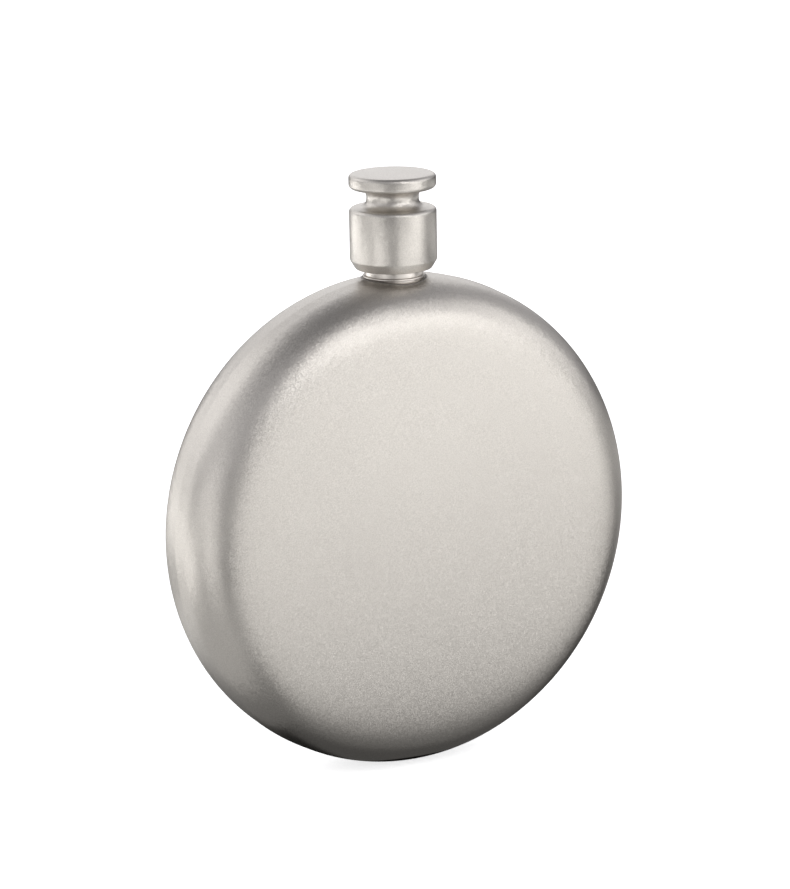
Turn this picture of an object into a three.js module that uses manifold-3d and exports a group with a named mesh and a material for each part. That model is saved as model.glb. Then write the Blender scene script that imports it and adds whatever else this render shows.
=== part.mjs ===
// Round pocket flask in titanium: two pressed dishes welded rim to rim, a threaded neck
// let into the top of the rim, and a turned screw cap with a silicone seal inside.
// Millimetres, +Z up along the neck, front face towards -Y, origin under the rim's lowest point.
import * as THREE from "three";
import { mergeVertices } from "three/addons/utils/BufferGeometryUtils.js";
import Module from "manifold-3d";

const wasm = await Module();
wasm.setup();

// Body: a flat round vessel with softly rounded edges
const BODY_DIAMETER = 92;
const BODY_THICKNESS = 24;
const CORNER_RADIUS = 10;
const WALL = 1;
const RIM_WELD_WIDTH = 1.2;

// Neck: a turned tube with a spigot in the rim, a flange on it and a thread above
const BORE_DIAMETER = 7.4;
const NECK_WALL = 1;
const SPIGOT_WALL = 1.4;
const SPIGOT_REACH = 1.5;
const SHANK_STEP = 0.05;
const SHANK_SHOWN = 1.15;
const FLANGE_WIDTH = 0.4;
const FLANGE_RISE = 0.05;
const FLANGE_ROUNDING = 0.15;
const LIP_CHAMFER = 0.4;

// Weld bead that runs round the foot of the flange, on the rim
const NECK_WELD_THICKNESS = 0.2;
const NECK_WELD_WIDTH = 0.3;
const NECK_WELD_GAP = 0.08;

// Screw thread of neck and cap: right-handed, single start
const THREAD_PITCH = 1.5;
const THREAD_DEPTH = 0.6;
const THREAD_TURNS = 4;
const THREAD_MARGIN = 0.3;

// Cap: a skirt over the thread, a waist and a flat head to grip
const CAP_WALL = 2.4;
const CAP_ROOF = 1.45;
const CAP_CHAMFER_WIDTH = 1;
const CAP_CHAMFER_HEIGHT = 1.65;
const SHOULDER_ROUNDING = 0.8;
const WAIST_DEPTH = 3.2;
const WAIST_HEIGHT = 3.5;
const WAIST_FILLET = 1.6;
const HEAD_THICKNESS = 2.7;
const HEAD_TOP_ROUNDING = 0.8;
const HEAD_FOOT_ROUNDING = 0.8;

// Seal: a flat silicone ring between the lip of the neck and the roof of the cap
const SEAL_THICKNESS = 1.6;
const SEAL_OVERLAP = 0.95;

// Gap kept between pieces that meet, and between the two threads
const CLEARANCE = 0.3;

// Thread form in shares of the pitch, and weld depth in shares of the wall
const NECK_RIDGE_ROOT = 0.7;
const NECK_RIDGE_CREST = 0.24;
const CAP_RIDGE_ROOT = 0.6;
const CAP_RIDGE_CREST = 0.2;
const WELD_PENETRATION = 0.5;

// Facets, the share of a turn over which a thread fades out, and its hold in the wall
const BODY_SEGMENTS = 72;
const TURNED_SEGMENTS = 36;
const ARC_STEPS = 6;
const THREAD_RUNOUT = 0.25;
const THREAD_HOLD = 0.4;

const BLASTED_TITANIUM = { color: 0xbdb8b1, roughness: 0.42, metalness: 1 };
const POLISHED_TITANIUM = { color: 0xcfc8c0, roughness: 0.12, metalness: 1 };
const SILICONE = { color: 0xe4e2dc, roughness: 0.6, metalness: 0 };

// Radii that follow from the sizes above, with fillets limited by what carries them
const bodyRadius = BODY_DIAMETER / 2;
const halfThickness = BODY_THICKNESS / 2;
const cornerRadius = Math.min(CORNER_RADIUS, halfThickness - RIM_WELD_WIDTH);
const innerCornerRadius = Math.max(cornerRadius - WALL, WALL / 4);
const weldRoot = bodyRadius - WALL * WELD_PENETRATION;
const boreRadius = BORE_DIAMETER / 2;
const spigotRadius = boreRadius + SPIGOT_WALL;
const neckHoleRadius = spigotRadius + CLEARANCE;
const rootRadius = boreRadius + NECK_WALL;
const crestRadius = rootRadius + THREAD_DEPTH;
const shankRadius = crestRadius + SHANK_STEP;
const flangeRadius = shankRadius + FLANGE_WIDTH;
const socketRadius = crestRadius + CLEARANCE;
const capRadius = socketRadius + CAP_WALL;
const waistRadius = capRadius - WAIST_DEPTH;
const headTopRounding = Math.min(HEAD_TOP_ROUNDING, HEAD_THICKNESS / 3);
const headFootRounding = Math.min(HEAD_FOOT_ROUNDING, HEAD_THICKNESS / 2);
const waistFillet = Math.min(WAIST_FILLET, WAIST_HEIGHT / 2, WAIST_DEPTH / 2);

// Heights from the crown of the rim up to the top of the cap
const crown = BODY_DIAMETER;
const flangeTop = crown + FLANGE_RISE;
const capFoot = flangeTop + SHANK_SHOWN;
const threadEnd = (NECK_RIDGE_ROOT * THREAD_PITCH) / 2 + THREAD_MARGIN;
const threadStart = capFoot + threadEnd;
const lip = threadStart + THREAD_TURNS * THREAD_PITCH + threadEnd;
const sealFoot = lip + CLEARANCE;
const sealTop = sealFoot + SEAL_THICKNESS;
const roof = sealTop + CLEARANCE;
const shoulder = roof + CAP_ROOF;
const headFoot = shoulder + WAIST_HEIGHT;
const capTop = headFoot + HEAD_THICKNESS;

const point = (r, h) => new THREE.Vector2(r, h);

// Points of a circular arc in a turned outline, from one angle to another in degrees.
function arc(r, h, radius, from, to) {
  return Array.from({ length: ARC_STEPS + 1 }, (_, i) => {
    const angle = THREE.MathUtils.degToRad(from + ((to - from) * i) / ARC_STEPS);
    return point(r + radius * Math.cos(angle), h + radius * Math.sin(angle));
  });
}

const closed = (outline) => [...outline, outline[0].clone()];

// A closed mesh as a solid, whichever way round its outline was drawn.
function solid(geometry) {
  geometry.deleteAttribute("normal");
  geometry.deleteAttribute("uv");
  const merged = mergeVertices(geometry, 1e-4);
  const corners = merged.index.array;
  const place = merged.attributes.position;
  const [a, b, c] = [new THREE.Vector3(), new THREE.Vector3(), new THREE.Vector3()];
  const triangles = [];
  let volume = 0;
  for (let i = 0; i < corners.length; i += 3) {
    const [p, q, r] = corners.slice(i, i + 3);
    if (p === q || q === r || r === p) continue;
    triangles.push(p, q, r);
    a.fromBufferAttribute(place, p);
    b.fromBufferAttribute(place, q);
    c.fromBufferAttribute(place, r);
    volume += a.dot(b.cross(c));
  }
  if (volume < 0) triangles.reverse();
  const mesh = new wasm.Mesh({
    numProp: 3,
    vertProperties: place.array,
    triVerts: new Uint32Array(triangles),
  });
  return new wasm.Manifold(mesh);
}

// A solid of revolution about the body's own axis, standing on its rim.
function bodyTurned(outline) {
  return solid(new THREE.LatheGeometry(outline, BODY_SEGMENTS).translate(0, 0, bodyRadius));
}

// A solid of revolution about the upright axis of the neck and the cap.
function neckTurned(outline) {
  return solid(new THREE.LatheGeometry(outline, TURNED_SEGMENTS).rotateX(Math.PI / 2));
}

function ring(inner, outer, foot, top) {
  return neckTurned(closed([point(inner, foot), point(outer, foot), point(outer, top), point(inner, top)]));
}

// The way that the spigot takes through the rim.
function neckHole() {
  return neckTurned([
    point(0, bodyRadius),
    point(neckHoleRadius, bodyRadius),
    point(neckHoleRadius, flangeTop),
    point(0, flangeTop),
  ]);
}

// The outside of the body as one solid disc, grown all round by a margin.
function bodyDisc(margin) {
  const half = halfThickness + margin;
  const corner = cornerRadius + margin;
  const centre = bodyRadius - cornerRadius;
  return bodyTurned([
    point(0, -half),
    ...arc(centre, corner - half, corner, -90, 0),
    ...arc(centre, half - corner, corner, 0, 90),
    point(0, half),
  ]);
}

// One pressed dish: a flat face, a rounded corner and a straight rim with its edge bevelled for the weld.
function shell(side) {
  const innerRadius = bodyRadius - WALL;
  const innerFace = WALL - halfThickness;
  const outline = [
    point(0, -halfThickness),
    ...arc(bodyRadius - cornerRadius, cornerRadius - halfThickness, cornerRadius, -90, 0),
    point(bodyRadius, -RIM_WELD_WIDTH / 2),
    point(weldRoot, 0),
    point(innerRadius, 0),
    ...arc(innerRadius - innerCornerRadius, innerFace + innerCornerRadius, innerCornerRadius, 0, -90),
    point(0, innerFace),
  ];
  return bodyTurned(outline.map((p) => point(p.x, p.y * side))).subtract(neckHole());
}

// The weld that closes the rim, ground flush, with its two ends at the neck.
function rimWeld() {
  const outline = closed([
    point(bodyRadius, -RIM_WELD_WIDTH / 2),
    point(bodyRadius, RIM_WELD_WIDTH / 2),
    point(weldRoot, 0),
  ]);
  return bodyTurned(outline).subtract(neckHole());
}

// A helical ridge: a tapered section carried round the axis, fading out at both ends.
// It grows out of a wall of the given radius, outwards for a positive depth and inwards for a negative one.
function ridge({ start, turns, wall, depth, rootWidth, crestWidth }) {
  const steps = Math.round(turns * TURNED_SEGMENTS);
  const base = wall - depth * THREAD_HOLD;
  const faded = wall - (depth * THREAD_HOLD) / 2;
  const corners = [];
  for (let i = 0; i <= steps; i += 1) {
    const turned = i / TURNED_SEGMENTS;
    const fade = Math.min(1, turned / THREAD_RUNOUT, (turns - turned) / THREAD_RUNOUT);
    const crest = faded + (wall + depth - faded) * fade;
    const angle = (turned + 0.5 / TURNED_SEGMENTS) * 2 * Math.PI;
    const height = start + turned * THREAD_PITCH;
    const section = [[base, -rootWidth], [crest, -crestWidth], [crest, crestWidth], [base, rootWidth]];
    for (const [radius, width] of section) {
      corners.push(radius * Math.cos(angle), radius * Math.sin(angle), height + width / 2);
    }
  }
  const faces = [0, 1, 2, 0, 2, 3];
  for (let i = 0; i < steps; i += 1) {
    for (let k = 0; k < 4; k += 1) {
      const [p, q] = [i * 4 + k, i * 4 + ((k + 1) % 4)];
      faces.push(p, p + 4, q, q, p + 4, q + 4);
    }
  }
  const last = steps * 4;
  faces.push(last, last + 2, last + 1, last, last + 3, last + 2);
  const geometry = new THREE.BufferGeometry();
  geometry.setAttribute("position", new THREE.Float32BufferAttribute(corners, 3));
  geometry.setIndex(faces);
  return solid(geometry);
}

// The neck: spigot, saddle-cut flange, plain shank and threaded mouth on one bore.
function neck() {
  const flangeSeat = spigotRadius - SPIGOT_WALL / 2;
  const flangeFoot = crown - cornerRadius / 2;
  const tube = neckTurned(closed([
    point(boreRadius, crown - WALL - SPIGOT_REACH),
    point(spigotRadius, crown - WALL - SPIGOT_REACH),
    point(spigotRadius, flangeTop - FLANGE_ROUNDING),
    point(shankRadius, flangeTop - FLANGE_ROUNDING),
    point(shankRadius, capFoot),
    point(rootRadius, capFoot + threadEnd / 2),
    point(rootRadius, lip - LIP_CHAMFER),
    point(rootRadius - LIP_CHAMFER, lip),
    point(boreRadius, lip),
  ]));
  const flange = neckTurned(closed([
    point(flangeSeat, flangeFoot),
    point(flangeRadius, flangeFoot),
    ...arc(flangeRadius - FLANGE_ROUNDING, flangeTop - FLANGE_ROUNDING, FLANGE_ROUNDING, 0, 90),
    point(flangeSeat, flangeTop),
  ])).subtract(bodyDisc(NECK_WELD_GAP));
  const thread = ridge({
    start: threadStart,
    turns: THREAD_TURNS,
    wall: rootRadius,
    depth: THREAD_DEPTH,
    rootWidth: NECK_RIDGE_ROOT * THREAD_PITCH,
    crestWidth: NECK_RIDGE_CREST * THREAD_PITCH,
  });
  return tube.add(flange).add(thread);
}

// The bead round the flange, which follows the curve of the rim.
function neckWeld() {
  const inner = flangeRadius + NECK_WELD_GAP;
  const collar = ring(inner, inner + NECK_WELD_WIDTH, crown - cornerRadius / 2, crown + cornerRadius / 2);
  return collar
    .intersect(bodyDisc(NECK_WELD_GAP + NECK_WELD_THICKNESS))
    .subtract(bodyDisc(NECK_WELD_GAP));
}

// The cap: turned from one bar, with a threaded socket in its foot.
function cap() {
  const body = neckTurned([
    point(0, roof),
    point(socketRadius, roof),
    point(socketRadius, capFoot),
    point(capRadius - CAP_CHAMFER_WIDTH, capFoot),
    point(capRadius, capFoot + CAP_CHAMFER_HEIGHT),
    ...arc(capRadius - SHOULDER_ROUNDING, shoulder - SHOULDER_ROUNDING, SHOULDER_ROUNDING, 0, 90),
    ...arc(waistRadius + waistFillet, shoulder + waistFillet, waistFillet, 270, 180),
    ...arc(waistRadius + waistFillet, headFoot - waistFillet, waistFillet, 180, 90),
    ...arc(capRadius - headFootRounding, headFoot + headFootRounding, headFootRounding, -90, 0),
    ...arc(capRadius - headTopRounding, capTop - headTopRounding, headTopRounding, 0, 90),
    point(0, capTop),
  ]);
  const thread = ridge({
    start: threadStart + THREAD_PITCH / 2,
    turns: THREAD_TURNS - 1,
    wall: socketRadius,
    depth: -THREAD_DEPTH,
    rootWidth: CAP_RIDGE_ROOT * THREAD_PITCH,
    crestWidth: CAP_RIDGE_CREST * THREAD_PITCH,
  });
  return body.add(thread);
}

function capSeal() {
  return ring(boreRadius - SEAL_OVERLAP, socketRadius - CLEARANCE, sealFoot, sealTop);
}

// A named mesh from a solid and the finish of its surface.
function piece(name, shape, finish) {
  const { vertProperties, triVerts } = shape.getMesh();
  const geometry = new THREE.BufferGeometry();
  geometry.setAttribute("position", new THREE.BufferAttribute(vertProperties, 3));
  geometry.setIndex(new THREE.BufferAttribute(triVerts, 1));
  geometry.computeVertexNormals();
  const mesh = new THREE.Mesh(geometry, new THREE.MeshStandardMaterial(finish));
  mesh.name = name;
  return mesh;
}

const vessel = new THREE.Group();
vessel.add(
  piece("front_shell", shell(1), BLASTED_TITANIUM),
  piece("back_shell", shell(-1), BLASTED_TITANIUM),
  piece("rim_weld", rimWeld(), BLASTED_TITANIUM),
  piece("neck", neck(), POLISHED_TITANIUM),
  piece("neck_weld", neckWeld(), POLISHED_TITANIUM),
);

const closure = new THREE.Group();
closure.add(piece("cap", cap(), BLASTED_TITANIUM), piece("cap_seal", capSeal(), SILICONE));

const flask = new THREE.Group();
flask.add(vessel, closure);

export default flask;
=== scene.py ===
"""Round titanium pocket flask: two welded dishes, a threaded neck and a turned screw cap."""
import math

import bmesh
import bpy
from mathutils import Matrix, Vector


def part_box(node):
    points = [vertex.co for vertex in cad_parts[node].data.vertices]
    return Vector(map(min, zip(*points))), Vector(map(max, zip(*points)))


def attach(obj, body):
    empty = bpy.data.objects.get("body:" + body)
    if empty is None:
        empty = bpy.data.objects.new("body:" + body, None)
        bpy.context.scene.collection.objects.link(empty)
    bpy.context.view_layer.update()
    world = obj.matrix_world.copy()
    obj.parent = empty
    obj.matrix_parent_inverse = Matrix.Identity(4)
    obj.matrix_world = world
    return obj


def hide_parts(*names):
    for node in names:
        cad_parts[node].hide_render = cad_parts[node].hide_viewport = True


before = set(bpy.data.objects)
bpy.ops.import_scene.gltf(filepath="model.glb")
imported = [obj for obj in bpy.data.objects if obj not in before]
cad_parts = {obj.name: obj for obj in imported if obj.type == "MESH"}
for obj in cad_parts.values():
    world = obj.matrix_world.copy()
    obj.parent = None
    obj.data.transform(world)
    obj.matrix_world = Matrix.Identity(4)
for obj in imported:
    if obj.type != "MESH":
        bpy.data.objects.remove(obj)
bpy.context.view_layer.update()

# Front shell: a dish pressed from thin titanium sheet, with a flat face and a wide round corner.
# Its rim keeps a little draft from the press, so the two dishes meet at a soft ridge.
# The edge is bevelled for the weld, and the outside is bead-blasted to a fine satin grain.
MM = 0.001
shell_low, shell_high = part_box("front_shell")
BODY_RADIUS = shell_high.x
HALF_THICKNESS = -shell_low.y
BODY_AXIS = Vector((0, 1, 0))
BODY_CENTRE = Vector((0, 0, BODY_RADIUS))
CORNER_RADIUS = 10 * MM
WALL = 1 * MM
RIM_DRAFT = math.radians(4)
WELD_EDGE = 0.6 * MM
WELD_DEPTH = 0.5 * MM
NECK_HOLE = 5.4 * MM
NECK_HOLE_STEPS = 96
BODY_STEPS = 224
CORNER_STEPS = 16
FACE_DOME = 0.8 * MM
FACE_STEPS = 24
FACE_CROWDING = 1.5
CORNER_START = math.radians(60)
SHARP_ANGLE = math.radians(25)
MERGE_DISTANCE = 0.0005 * MM
TITANIUM_DARK = (0.535, 0.507, 0.470, 1)
TITANIUM_LIGHT = (0.635, 0.603, 0.560, 1)
PITS_PER_METRE = 5200
DRIFTS_PER_METRE = 45
SHEEN_DRIFT = 0.02
BODY_ROUGHNESS = 0.40
BODY_PIT_LEAN = 0.16
NOISE_LOW = 0.3
NOISE_HIGH = 0.7
MIDDLE_COLOUR = (0.5, 0.5, 0.5)

corner_height = HALF_THICKNESS - CORNER_RADIUS
draft_height = corner_height + CORNER_RADIUS * math.sin(RIM_DRAFT)
corner_reach = CORNER_RADIUS * math.cos(RIM_DRAFT) + draft_height * math.tan(RIM_DRAFT)
FACE_RADIUS = BODY_RADIUS - corner_reach


def arc(r, h, radius, start, end, steps):
    """Points of an arc in a turned outline, as (radius, height), between two angles in degrees."""
    angles = [math.radians(start + (end - start) * i / steps) for i in range(steps + 1)]
    return [(r + radius * math.cos(a), h + radius * math.sin(a)) for a in angles]


def rim_radius(y):
    """Radius of the body's outside at a distance from the middle of the rim."""
    height = abs(y)
    if height < draft_height:
        return BODY_RADIUS - height * math.tan(RIM_DRAFT)
    return FACE_RADIUS + math.sqrt(CORNER_RADIUS ** 2 - (height - corner_height) ** 2)


def spun(points, centre, axis, steps):
    """A closed skin made by spinning a line of points a full turn."""
    bm = bmesh.new()
    verts = [bm.verts.new(p) for p in points]
    edges = [bm.edges.new(pair) for pair in zip(verts, verts[1:])]
    bmesh.ops.spin(
        bm, geom=verts + edges, cent=centre, axis=axis, angle=math.tau, steps=steps, use_merge=True,
    )
    bmesh.ops.remove_doubles(bm, verts=bm.verts, dist=MERGE_DISTANCE)
    bmesh.ops.recalc_face_normals(bm, faces=bm.faces)
    return bm


def body_spun(outline):
    """A turned skin about the body's own axis, from points given as (radius, distance along that axis)."""
    return spun([BODY_CENTRE + Vector((r, h, 0)) for r, h in outline], BODY_CENTRE, BODY_AXIS, BODY_STEPS)


def piece_from(bm, name):
    """A new object from a bmesh, smooth but for its true edges."""
    mesh = bpy.data.meshes.new(name)
    for face in bm.faces:
        face.smooth = True
    bm.to_mesh(mesh)
    bm.free()
    mesh.set_sharp_from_angle(angle=SHARP_ANGLE)
    piece = bpy.data.objects.new(name, mesh)
    bpy.context.scene.collection.objects.link(piece)
    return piece


def combine(piece, tool, operation):
    """Cuts a tool out of a piece, or joins it on, merges doubled points and takes the tool away."""
    modifier = piece.modifiers.new(operation, "BOOLEAN")
    modifier.operation = operation
    modifier.solver = "EXACT"
    modifier.object = tool
    made = bpy.data.meshes.new_from_object(piece.evaluated_get(bpy.context.evaluated_depsgraph_get()))
    bm = bmesh.new()
    bm.from_mesh(made)
    bmesh.ops.remove_doubles(bm, verts=bm.verts, dist=MERGE_DISTANCE)
    bm.to_mesh(made)
    bm.free()
    made.set_sharp_from_angle(angle=SHARP_ANGLE)
    piece.modifiers.remove(modifier)
    piece.data = made
    bpy.data.objects.remove(tool)


def dish_face(corner, top):
    """Points from the middle of a face to its corner: a faint dome that bends ever more tightly."""
    reach = FACE_RADIUS + corner * math.sin(CORNER_START)
    drop = corner * (1 - math.cos(CORNER_START)) - FACE_DOME
    power = (reach * math.tan(CORNER_START) - 2 * FACE_DOME) / drop
    shares = [1 - (1 - i / FACE_STEPS) ** FACE_CROWDING for i in range(FACE_STEPS)]
    return [(reach * s, FACE_DOME * s ** 2 + drop * s ** power - top) for s in shares]


def shell_outline(side):
    """Outline of one dish, from the middle of its face round the rim and back along the inside."""
    start = -90 + math.degrees(CORNER_START)
    inner_corner = CORNER_RADIUS - WALL
    points = dish_face(CORNER_RADIUS, HALF_THICKNESS)
    points += arc(FACE_RADIUS, -corner_height, CORNER_RADIUS, start, -math.degrees(RIM_DRAFT), CORNER_STEPS)
    points += [(rim_radius(h), -h) for h in (2 * WELD_EDGE, WELD_EDGE)]
    points += [(BODY_RADIUS - WELD_DEPTH, 0), (BODY_RADIUS - WALL, 0)]
    points += arc(FACE_RADIUS, -corner_height, inner_corner, 0, start, CORNER_STEPS)
    points += reversed(dish_face(inner_corner, HALF_THICKNESS - WALL))
    return [(r, h * side) for r, h in points]


def neck_hole():
    """The drill that opens the top of the rim for the neck."""
    bm = bmesh.new()
    bmesh.ops.create_cone(
        bm, cap_ends=True, segments=NECK_HOLE_STEPS,
        radius1=NECK_HOLE, radius2=NECK_HOLE, depth=BODY_RADIUS,
    )
    bmesh.ops.translate(bm, verts=bm.verts, vec=(0, 0, 2 * BODY_RADIUS))
    return piece_from(bm, "neck_hole")


def new_material(name):
    """An empty material and its surface shader."""
    material = bpy.data.materials.new(name)
    material.use_nodes = True
    return material, material.node_tree, material.node_tree.nodes["Principled BSDF"]


def grain(tree, scale, detail):
    """A noise in the piece's own space, with so many cells to the metre."""
    place = tree.nodes.new("ShaderNodeTexCoord")
    noise = tree.nodes.new("ShaderNodeTexNoise")
    noise.inputs["Scale"].default_value = scale
    noise.inputs["Detail"].default_value = detail
    tree.links.new(place.outputs["Object"], noise.inputs["Vector"])
    return noise


def spread(tree, noise, low, high):
    """A number that follows a noise between two limits."""
    ramp = tree.nodes.new("ShaderNodeMapRange")
    ramp.inputs["From Min"].default_value = NOISE_LOW
    ramp.inputs["From Max"].default_value = NOISE_HIGH
    ramp.inputs["To Min"].default_value = low
    ramp.inputs["To Max"].default_value = high
    tree.links.new(noise.outputs["Fac"], ramp.inputs["Value"])
    return ramp


def vector_step(tree, operation, first):
    """A vector calculation on the output of another node."""
    step = tree.nodes.new("ShaderNodeVectorMath")
    step.operation = operation
    tree.links.new(first, step.inputs[0])
    return step


def pitted_normal(tree, lean):
    """The surface's normal, leaning a little its own way in each pit that a bead has left."""
    place = tree.nodes.new("ShaderNodeTexCoord")
    pits = tree.nodes.new("ShaderNodeTexVoronoi")
    pits.inputs["Scale"].default_value = PITS_PER_METRE
    tree.links.new(place.outputs["Object"], pits.inputs["Vector"])
    tilt = vector_step(tree, "SUBTRACT", pits.outputs["Color"])
    tilt.inputs[1].default_value = MIDDLE_COLOUR
    slight = vector_step(tree, "SCALE", tilt.outputs["Vector"])
    slight.inputs["Scale"].default_value = lean
    surface = tree.nodes.new("ShaderNodeNewGeometry")
    leaning = vector_step(tree, "ADD", slight.outputs["Vector"])
    tree.links.new(surface.outputs["Normal"], leaning.inputs[1])
    return vector_step(tree, "NORMALIZE", leaning.outputs["Vector"])


def blasted_titanium(name, roughness, lean):
    """Bead-blasted titanium: tiny overlapping pits, lighter and darker, and slow drifts of sheen."""
    material, tree, shader = new_material(name)
    shader.inputs["Metallic"].default_value = 1
    speckle = spread(tree, grain(tree, PITS_PER_METRE, 1), 0, 1)
    tone = tree.nodes.new("ShaderNodeMix")
    tone.data_type = "RGBA"
    tone.inputs["A"].default_value = TITANIUM_DARK
    tone.inputs["B"].default_value = TITANIUM_LIGHT
    tree.links.new(speckle.outputs["Result"], tone.inputs["Factor"])
    tree.links.new(tone.outputs["Result"], shader.inputs["Base Color"])
    drifts = grain(tree, DRIFTS_PER_METRE, 3)
    sheen = spread(tree, drifts, roughness - SHEEN_DRIFT, roughness + SHEEN_DRIFT)
    tree.links.new(sheen.outputs["Result"], shader.inputs["Roughness"])
    tree.links.new(pitted_normal(tree, lean).outputs["Vector"], shader.inputs["Normal"])
    return material


body_finish = blasted_titanium("blasted_titanium", BODY_ROUGHNESS, BODY_PIT_LEAN)
front_shell = piece_from(body_spun(shell_outline(1)), "front_shell_skin")
combine(front_shell, neck_hole(), "DIFFERENCE")
front_shell.data.materials.append(body_finish)
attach(front_shell, "flask")
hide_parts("front_shell")

# Back shell: the same pressing turned round, so the flask is alike on both sides.
# It is tacked to the front shell edge to edge before the weld runs round.
back_shell = piece_from(body_spun(shell_outline(-1)), "back_shell_skin")
combine(back_shell, neck_hole(), "DIFFERENCE")
back_shell.data.materials.append(body_finish)
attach(back_shell, "flask")
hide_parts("back_shell")

# Rim weld: the bead that fills the groove between the two shells, run without filler under gas.
# It is ground flush and blasted with the body, so only the ridge where the drafts meet shows.
RIDGE_ROUNDING = 0.08 * MM
weld_outline = [(rim_radius(h), h) for h in (-WELD_EDGE, -RIDGE_ROUNDING, RIDGE_ROUNDING, WELD_EDGE)]
weld_outline += [(BODY_RADIUS - WELD_DEPTH, 0), (rim_radius(WELD_EDGE), -WELD_EDGE)]
rim_weld = piece_from(body_spun(weld_outline), "rim_weld_bead")
combine(rim_weld, neck_hole(), "DIFFERENCE")
rim_weld.data.materials.append(body_finish)
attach(rim_weld, "flask")
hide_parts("rim_weld")

# Neck: turned from titanium bar and polished. A spigot passes through the rim, a thin flange sits on it,
# a plain shank shows below the cap, and a right-hand thread of four turns runs up to the lip.
neck_low, neck_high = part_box("neck")
CROWN = 2 * BODY_RADIUS
LIP = neck_high.z
NECK_FOOT = neck_low.z
FLANGE_RADIUS = neck_high.x
FLANGE_TOP = CROWN + 0.05 * MM
FLANGE_FOOT = CROWN - 0.45 * MM
FLANGE_ROUNDING = 0.25 * MM
COLLAR_RADIUS = FLANGE_RADIUS - 0.3 * MM
COLLAR_FOOT = CROWN - 2 * MM
COLLAR_GAP = 0.03 * MM
BORE_RADIUS = 3.7 * MM
SPIGOT_RADIUS = 5.1 * MM
SHANK_RADIUS = 5.35 * MM
SHANK_TOP = FLANGE_TOP + 1.15 * MM
ROOT_RADIUS = 4.7 * MM
THREAD_DEPTH = 0.6 * MM
THREAD_PITCH = 1.5 * MM
THREAD_TURNS = 4
THREAD_START = SHANK_TOP + 0.825 * MM
THREAD_STEPS = 64
THREAD_RUNOUT = 0.25
THREAD_HOLD = 0.25 * MM
THREAD_END = 0.1
NECK_THREAD_ROOT = 1.05 * MM
NECK_THREAD_CREST = 0.36 * MM
LIP_ROUNDING = 0.35 * MM
MOUTH_ROUNDING = 0.25 * MM
TURNED_STEPS = 128
EDGE_STEPS = 6
TITANIUM_BRIGHT = (0.66, 0.62, 0.575, 1)
NECK_ROUGHNESS = 0.32
LATHE_RINGS = (60, 60, 9000)
LATHE_SHEEN = 0.04
LATHE_RELIEF = 0.12
LATHE_DEPTH = 0.01 * MM
NECK_AXIS = Vector((0, 0, 1))


def neck_spun(outline):
    """A turned skin about the upright axis, from points given as (radius, height)."""
    return spun([Vector((r, 0, h)) for r, h in outline], Vector(), NECK_AXIS, TURNED_STEPS)


def rim_height(x, y):
    """Height of the rim's outside beside the neck."""
    return BODY_RADIUS + math.sqrt(rim_radius(y) ** 2 - x ** 2)


def helix(wall, depth, start, turns, root_width, crest_width, name):
    """A thread's ridge: a tapered section screwed up round the axis, fading out at both ends."""
    base = wall - math.copysign(THREAD_HOLD, depth)
    crest = wall + depth
    section = [
        (base, -root_width / 2), (crest, -crest_width / 2),
        (crest, crest_width / 2), (base, root_width / 2),
    ]
    steps = round(turns * THREAD_STEPS)
    bm = bmesh.new()
    verts = [bm.verts.new((r, 0, start + h)) for r, h in section]
    loop = [bm.edges.new((verts[i - 1], verts[i])) for i in range(len(verts))]
    bmesh.ops.spin(
        bm, geom=verts + loop, cent=(0, 0, 0), axis=NECK_AXIS, angle=turns * math.tau, steps=steps,
        dvec=(0, 0, THREAD_PITCH / THREAD_STEPS),
    )
    bmesh.ops.holes_fill(bm, edges=bm.edges, sides=len(section))
    bm.verts.index_update()
    for vert in bm.verts:
        turned = (vert.index // len(section)) / THREAD_STEPS
        fade = min(1, turned / THREAD_RUNOUT, (turns - turned) / THREAD_RUNOUT)
        radius = vert.co.xy.length
        faded = base + (radius - base) * (THREAD_END + (1 - THREAD_END) * fade)
        vert.co.xy *= faded / radius
    bmesh.ops.recalc_face_normals(bm, faces=bm.faces)
    return piece_from(bm, name)


def polished_titanium(name, tone, roughness):
    """Turned and polished titanium: bright, with the faint rings that a lathe leaves."""
    material, tree, shader = new_material(name)
    shader.inputs["Metallic"].default_value = 1
    shader.inputs["Base Color"].default_value = tone
    place = tree.nodes.new("ShaderNodeTexCoord")
    squeeze = tree.nodes.new("ShaderNodeMapping")
    squeeze.inputs["Scale"].default_value = LATHE_RINGS
    rings = tree.nodes.new("ShaderNodeTexNoise")
    rings.inputs["Scale"].default_value = 1
    rings.inputs["Detail"].default_value = 2
    tree.links.new(place.outputs["Object"], squeeze.inputs["Vector"])
    tree.links.new(squeeze.outputs["Vector"], rings.inputs["Vector"])
    sheen = spread(tree, rings, roughness - LATHE_SHEEN, roughness + LATHE_SHEEN)
    tree.links.new(sheen.outputs["Result"], shader.inputs["Roughness"])
    bump = tree.nodes.new("ShaderNodeBump")
    bump.inputs["Strength"].default_value = LATHE_RELIEF
    bump.inputs["Distance"].default_value = LATHE_DEPTH
    tree.links.new(rings.outputs["Fac"], bump.inputs["Height"])
    tree.links.new(bump.outputs["Normal"], shader.inputs["Normal"])
    return material


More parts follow.
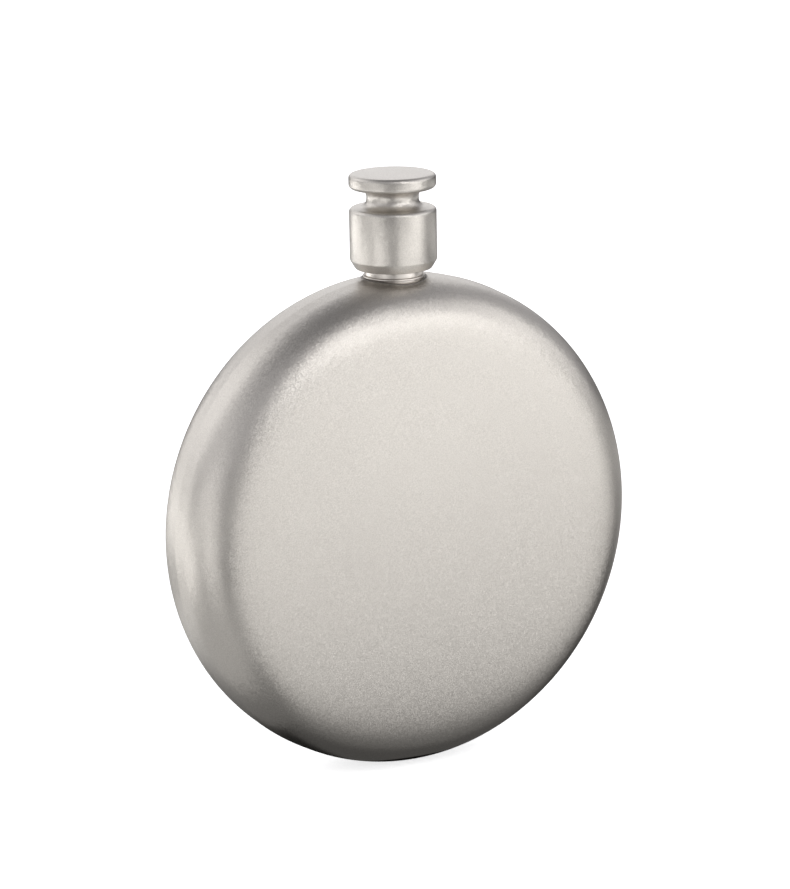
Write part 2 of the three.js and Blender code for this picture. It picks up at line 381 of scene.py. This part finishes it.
neck_outline = [(BORE_RADIUS, NECK_FOOT), (SPIGOT_RADIUS, NECK_FOOT)]
neck_outline += [(SPIGOT_RADIUS, COLLAR_FOOT), (COLLAR_RADIUS, COLLAR_FOOT), (COLLAR_RADIUS, FLANGE_FOOT)]
neck_outline += arc(
    FLANGE_RADIUS - FLANGE_ROUNDING, FLANGE_FOOT + FLANGE_ROUNDING, FLANGE_ROUNDING, -90, 0, EDGE_STEPS,
)
neck_outline += arc(
    FLANGE_RADIUS - FLANGE_ROUNDING, FLANGE_TOP - FLANGE_ROUNDING, FLANGE_ROUNDING, 0, 90, EDGE_STEPS,
)
neck_outline += [(SHANK_RADIUS, FLANGE_TOP), (SHANK_RADIUS, SHANK_TOP)]
neck_outline += [(ROOT_RADIUS, SHANK_TOP + (SHANK_RADIUS - ROOT_RADIUS) / 2)]
neck_outline += arc(ROOT_RADIUS - LIP_ROUNDING, LIP - LIP_ROUNDING, LIP_ROUNDING, 0, 90, EDGE_STEPS)
neck_outline += arc(
    BORE_RADIUS + MOUTH_ROUNDING, LIP - MOUTH_ROUNDING, MOUTH_ROUNDING, 90, 180, EDGE_STEPS,
)
neck_outline += [(BORE_RADIUS, NECK_FOOT)]
neck_skin = neck_spun(neck_outline)
for vert in neck_skin.verts:
    if vert.co.xy.length > NECK_HOLE:
        vert.co.z = max(vert.co.z, rim_height(vert.co.x, vert.co.y) + COLLAR_GAP)
neck = piece_from(neck_skin, "neck_turning")
neck_thread = helix(
    ROOT_RADIUS, THREAD_DEPTH, THREAD_START, THREAD_TURNS,
    NECK_THREAD_ROOT, NECK_THREAD_CREST, "neck_thread",
)
combine(neck, neck_thread, "UNION")
neck.data.materials.append(polished_titanium("polished_titanium", TITANIUM_BRIGHT, NECK_ROUGHNESS))
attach(neck, "flask")
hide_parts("neck")

# Neck weld: the small bead that runs round the foot of the flange and follows the curve of the rim.
# It is fused from the two parts without filler. Its colour is painted shade: darkened for the shadow that
# falls under the edge of the flange.
WELD_INNER = FLANGE_RADIUS + 0.02 * MM
WELD_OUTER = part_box("neck_weld")[1].x
BEAD_HEIGHT = 0.08 * MM
BEAD_GAP = 0.02 * MM
# Painted shade: a dark tone for the bead, standing in for the shadow under the flange edge.
WELD_PAINTED_SHADE = (0.30, 0.28, 0.26, 1)
WELD_ROUGHNESS = 0.45
bead_middle = (WELD_INNER + WELD_OUTER) / 2
bead_half = (WELD_OUTER - WELD_INNER) / 2
bead_outline = [(WELD_INNER, 0)]
bead_outline += [
    (r, h * BEAD_HEIGHT / bead_half) for r, h in arc(bead_middle, 0, bead_half, 180, 0, 2 * EDGE_STEPS)
]
bead_outline += [(WELD_INNER, 0)]
bead = neck_spun(bead_outline)
for vert in bead.verts:
    vert.co.z += rim_height(vert.co.x, vert.co.y) + BEAD_GAP
neck_weld = piece_from(bead, "neck_weld_bead")
# The weld's dark tone is painted shade, not the metal's own colour.
neck_weld.data.materials.append(polished_titanium("weld_titanium", WELD_PAINTED_SHADE, WELD_ROUGHNESS))
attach(neck_weld, "flask")
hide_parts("neck_weld")

# Cap: turned in one piece from titanium bar, with a flat head to grip, a waist and a threaded skirt.
# The foot of the skirt is chamfered and the edges are eased, then the outside is blasted like the body.
cap_low, cap_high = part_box("cap")
CAP_RADIUS = cap_high.x
CAP_FOOT = cap_low.z
CAP_TOP = cap_high.z
HEAD_FOOT = CAP_TOP - 2.7 * MM
SHOULDER = HEAD_FOOT - 3.5 * MM
ROOF = SHOULDER - 1.45 * MM
SOCKET_RADIUS = 5.6 * MM
WAIST_RADIUS = CAP_RADIUS - 3.2 * MM
WAIST_FILLET = 1.6 * MM
HEAD_TOP_ROUNDING = 0.8 * MM
HEAD_FOOT_ROUNDING = 0.8 * MM
SHOULDER_ROUNDING = 0.8 * MM
CHAMFER_WIDTH = 1.0 * MM
CHAMFER_HEIGHT = 1.65 * MM
CHAMFER_EASE = 0.12 * MM
SOCKET_EASE = 0.3 * MM
FILLET_STEPS = 12
CAP_THREAD_START = THREAD_START + THREAD_PITCH / 2
CAP_THREAD_TURNS = THREAD_TURNS - 1
CAP_THREAD_ROOT = 0.9 * MM
CAP_THREAD_CREST = 0.3 * MM
CAP_ROUGHNESS = 0.37
CAP_PIT_LEAN = 0.12

chamfer_slope = Vector((CHAMFER_WIDTH, CHAMFER_HEIGHT)).normalized() * CHAMFER_EASE
cap_outline = [(0, ROOF), (SOCKET_RADIUS, ROOF), (SOCKET_RADIUS, CAP_FOOT + SOCKET_EASE)]
cap_outline += [(SOCKET_RADIUS + SOCKET_EASE, CAP_FOOT)]
cap_outline += [(CAP_RADIUS - CHAMFER_WIDTH - CHAMFER_EASE, CAP_FOOT)]
cap_outline += [(CAP_RADIUS - CHAMFER_WIDTH + chamfer_slope.x, CAP_FOOT + chamfer_slope.y)]
cap_outline += [(CAP_RADIUS - chamfer_slope.x, CAP_FOOT + CHAMFER_HEIGHT - chamfer_slope.y)]
cap_outline += [(CAP_RADIUS, CAP_FOOT + CHAMFER_HEIGHT + CHAMFER_EASE)]
cap_outline += arc(
    CAP_RADIUS - SHOULDER_ROUNDING, SHOULDER - SHOULDER_ROUNDING, SHOULDER_ROUNDING, 0, 90, FILLET_STEPS,
)
cap_outline += arc(
    WAIST_RADIUS + WAIST_FILLET, SHOULDER + WAIST_FILLET, WAIST_FILLET, 270, 180, FILLET_STEPS,
)
cap_outline += arc(
    WAIST_RADIUS + WAIST_FILLET, HEAD_FOOT - WAIST_FILLET, WAIST_FILLET, 180, 90, FILLET_STEPS,
)
cap_outline += arc(
    CAP_RADIUS - HEAD_FOOT_ROUNDING, HEAD_FOOT + HEAD_FOOT_ROUNDING, HEAD_FOOT_ROUNDING,
    -90, 0, FILLET_STEPS,
)
cap_outline += arc(
    CAP_RADIUS - HEAD_TOP_ROUNDING, CAP_TOP - HEAD_TOP_ROUNDING, HEAD_TOP_ROUNDING, 0, 90, FILLET_STEPS,
)
cap_outline += [(CAP_RADIUS / 2, CAP_TOP), (0, CAP_TOP)]
cap = piece_from(neck_spun(cap_outline), "cap_turning")
cap_thread = helix(
    SOCKET_RADIUS, -THREAD_DEPTH, CAP_THREAD_START, CAP_THREAD_TURNS,
    CAP_THREAD_ROOT, CAP_THREAD_CREST, "cap_thread",
)
combine(cap, cap_thread, "UNION")
cap.data.materials.append(blasted_titanium("cap_titanium", CAP_ROUGHNESS, CAP_PIT_LEAN))
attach(cap, "cap")
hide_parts("cap")

# Cap seal: a flat ring punched from food-grade silicone sheet and pushed up under the roof of the cap.
# The lip of the neck presses into it as the cap is screwed down.
seal_low, seal_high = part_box("cap_seal")
SEAL_RADIUS = seal_high.x
SEAL_BORE = 2.75 * MM
SEAL_EDGE = 0.2 * MM
SILICONE_DARK = (0.74, 0.72, 0.68, 1)
SILICONE_LIGHT = (0.82, 0.80, 0.76, 1)
SILICONE_MILK = 0.3
SILICONE_DEPTH = (0.6 * MM, 0.5 * MM, 0.4 * MM)
SMOOTHEST_SILICONE = 0.45
ROUGHEST_SILICONE = 0.6
MOTTLES_PER_METRE = 900


def ring_outline(inner, outer, foot, top, edge):
    """Outline of a flat ring with rounded edges."""
    corners = [
        (outer - edge, foot + edge, -90), (outer - edge, top - edge, 0),
        (inner + edge, top - edge, 90), (inner + edge, foot + edge, 180),
    ]
    points = [p for r, h, turn in corners for p in arc(r, h, edge, turn, turn + 90, EDGE_STEPS)]
    return points + points[:1]


def silicone(name):
    """Milky silicone: soft, a little translucent, with a faint satin mottle."""
    material, tree, shader = new_material(name)
    mottle = grain(tree, MOTTLES_PER_METRE, 3)
    tone = tree.nodes.new("ShaderNodeMix")
    tone.data_type = "RGBA"
    tone.inputs["A"].default_value = SILICONE_DARK
    tone.inputs["B"].default_value = SILICONE_LIGHT
    tree.links.new(mottle.outputs["Fac"], tone.inputs["Factor"])
    tree.links.new(tone.outputs["Result"], shader.inputs["Base Color"])
    sheen = spread(tree, mottle, SMOOTHEST_SILICONE, ROUGHEST_SILICONE)
    tree.links.new(sheen.outputs["Result"], shader.inputs["Roughness"])
    shader.inputs["Subsurface Weight"].default_value = SILICONE_MILK
    shader.inputs["Subsurface Radius"].default_value = SILICONE_DEPTH
    return material


seal_outline = ring_outline(SEAL_BORE, SEAL_RADIUS, seal_low.z, seal_high.z, SEAL_EDGE)
cap_seal = piece_from(neck_spun(seal_outline), "cap_seal_ring")
cap_seal.data.materials.append(silicone("seal_silicone"))
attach(cap_seal, "seal")
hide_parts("cap_seal")

# Floor: a plain pale sheet that the flask stands on. It glows a little, as a lit sweep does,
# and the metal reflects the lamps around it and not the sheet.
FLOOR_SIZE = 12
FLOOR_TONE = (0.86, 0.86, 0.86, 1)
FLOOR_ROUGHNESS = 0.9
FLOOR_LIGHT = (1, 1, 1, 1)
FLOOR_GLOW = 0.75

floor_mesh = bmesh.new()
bmesh.ops.create_grid(floor_mesh, x_segments=1, y_segments=1, size=FLOOR_SIZE / 2)
floor = piece_from(floor_mesh, "floor")
floor_finish, _, floor_shader = new_material("pale_sheet")
floor_shader.inputs["Base Color"].default_value = FLOOR_TONE
floor_shader.inputs["Roughness"].default_value = FLOOR_ROUGHNESS
floor_shader.inputs["Emission Color"].default_value = FLOOR_LIGHT
floor_shader.inputs["Emission Strength"].default_value = FLOOR_GLOW
floor.data.materials.append(floor_finish)
floor.visible_glossy = False

# Lamps: a light tent as in a small product set. Glowing panels lie on the table all round the flask,
# strips that dim towards its foot lie in front of it, and soft boxes stand further out.
# A gap is left towards the camera and the right is dim, so the corner and the right rim turn dark.
TENT_CENTRE = Vector((0, 0, 0.06))
TENT_RADIUS = 0.65
TABLE_PANEL_HEIGHT = 0.002
FOOT_STRIP_MIDDLE = 0.035
FOOT_STRIP_WIDTH = 0.13
FOOT_STRIP_EDGES = (0.004, 0.011, 0.017, 0.024, 0.031, 0.040, 0.052)
FOOT_STRIP_GLOWS = (0.09, 0.17, 0.29, 0.44, 0.58, 0.72)
SKY_GLOW = ((0, 0), (0.2, 0.5), (0.74, 0.5), (0.99, 0.16))
SKY_BLUE = 1.05

world = bpy.data.worlds.new("tent")
world.use_nodes = True
sky = world.node_tree.nodes["Background"]
sky_place = world.node_tree.nodes.new("ShaderNodeTexCoord")
sky_axes = world.node_tree.nodes.new("ShaderNodeSeparateXYZ")
sky_ramp = world.node_tree.nodes.new("ShaderNodeValToRGB")
sky_stops = sky_ramp.color_ramp.elements
sky_stops.remove(sky_stops[1])
for height, glow in SKY_GLOW:
    stop = sky_stops.new(height)
    stop.color = (glow, glow, glow * SKY_BLUE, 1)
world.node_tree.links.new(sky_place.outputs["Generated"], sky_axes.inputs["Vector"])
world.node_tree.links.new(sky_axes.outputs["Z"], sky_ramp.inputs["Fac"])
world.node_tree.links.new(sky_ramp.outputs["Color"], sky.inputs["Color"])
bpy.context.scene.world = world


def lamp_panel(name, place, aim, width, depth, glow):
    """A rectangular lamp of even brightness that faces a point and is hidden from the camera."""
    lamp = bpy.data.lights.new(name, "AREA")
    lamp.shape = "RECTANGLE"
    lamp.size = width
    lamp.size_y = depth
    lamp.energy = glow * math.pi * width * depth
    panel = bpy.data.objects.new(name, lamp)
    panel.location = place
    panel.rotation_euler = (aim - place).to_track_quat("-Z", "Y").to_euler()
    panel.visible_camera = False
    bpy.context.scene.collection.objects.link(panel)


def soft_box(name, azimuth, elevation, width, depth, glow):
    """A lamp on a stand, by its direction in degrees: 0 is in front of the face, 90 to its right."""
    turn = math.radians(azimuth)
    lift = math.radians(elevation)
    out = Vector((math.sin(turn) * math.cos(lift), -math.cos(turn) * math.cos(lift), math.sin(lift)))
    lamp_panel(name, TENT_CENTRE + out * TENT_RADIUS, TENT_CENTRE, width, depth, glow)


def table_panel(name, x, y, width, depth, glow):
    """A lamp that lies on the table and shines up."""
    place = Vector((x, y, TABLE_PANEL_HEIGHT))
    lamp_panel(name, place, place + NECK_AXIS, width, depth, glow)


for start, end, glow in zip(FOOT_STRIP_EDGES, FOOT_STRIP_EDGES[1:], FOOT_STRIP_GLOWS):
    strip_y = -(start + end) / 2
    table_panel("table_foot_front", FOOT_STRIP_MIDDLE, strip_y, FOOT_STRIP_WIDTH, end - start, glow)
table_panel("table_near_front", 0.08, -0.096, 0.26, 0.088, 0.90)
table_panel("table_mid_front", 0.10, -0.19, 0.30, 0.10, 1.33)
table_panel("table_front", 0.08, -0.36, 0.40, 0.22, 2.3)
table_panel("table_front_right", 0.44, -0.42, 0.30, 0.36, 3.3)
table_panel("table_near_right", 0.185, -0.03, 0.07, 0.09, 0.3)
table_panel("table_right", 0.52, 0.05, 0.30, 0.40, 1.3)
table_panel("table_behind", 0.20, 0.20, 0.36, 0.36, 0.40)
table_panel("table_near_back", -0.095, 0.09, 0.13, 0.095, 0.42)
table_panel("table_mid_back", -0.05, 0.205, 0.14, 0.13, 0.65)
table_panel("table_back", -0.02, 0.42, 0.16, 0.22, 0.65)
table_panel("table_under_left", -0.0375, -0.002, 0.015, 0.10, 0.19)
table_panel("table_foot_left", -0.0825, 0, 0.075, 0.16, 0.56)
table_panel("table_near_side", -0.26, -0.13, 0.24, 0.22, 2.05)
table_panel("table_near_left", -0.245, 0.15, 0.25, 0.26, 1.9)
table_panel("table_left", -0.52, 0, 0.28, 0.50, 0.35)
table_panel("table_front_left", -0.24, -0.42, 0.22, 0.30, 0.62)
table_panel("table_back_left", -0.38, 0.46, 0.56, 0.30, 3.05)
soft_box("front_right", 32, 12, 0.40, 0.26, 1.95)
soft_box("front_high", 4, 30, 0.30, 0.50, 1.75)
soft_box("right", 66, 24, 0.28, 0.45, 1.15)
soft_box("left", 268, 22, 0.55, 0.45, 0.3)
soft_box("left_low", 280, 4, 0.55, 0.14, 1.3)
soft_box("back_left", 215, 27, 0.50, 0.36, 0.92)
soft_box("back_left_low", 208, 4, 0.44, 0.16, 1.05)
soft_box("back_left_high", 228, 48, 0.50, 0.26, 0.35)
soft_box("back", 155, 28, 0.60, 0.50, 0.65)
soft_box("back_low", 152, 10, 0.24, 0.12, 0.45)

# Camera: stands to the left of the flask and a little above it, as the photograph was taken.
EYE_HEADING = math.radians(-28.8)
EYE_ELEVATION = math.radians(14.23)
EYE_DISTANCE = 0.8
LOOK_HEADING = math.radians(-28.775)
LOOK_DOWN = math.radians(13.26)
LOOK_ROLL = math.radians(-1)
LENS = 174.7
SENSOR_WIDTH = 36
NEAREST_SEEN = 0.01

eye = Vector((
    math.sin(EYE_HEADING) * math.cos(EYE_ELEVATION),
    -math.cos(EYE_HEADING) * math.cos(EYE_ELEVATION),
    math.sin(EYE_ELEVATION),
))
camera_data = bpy.data.cameras.new("camera")
camera_data.lens = LENS
camera_data.sensor_width = SENSOR_WIDTH
camera_data.clip_start = NEAREST_SEEN
camera = bpy.data.objects.new("camera", camera_data)
look = Matrix.Rotation(LOOK_HEADING, 4, "Z") @ Matrix.Rotation(math.pi / 2 - LOOK_DOWN, 4, "X")
roll = Matrix.Rotation(LOOK_ROLL, 4, "Z")
camera.matrix_world = Matrix.Translation(BODY_CENTRE + eye * EYE_DISTANCE) @ look @ roll
bpy.context.scene.collection.objects.link(camera)
bpy.context.scene.camera = camera
bpy.context.scene.view_settings.view_transform = "Standard"
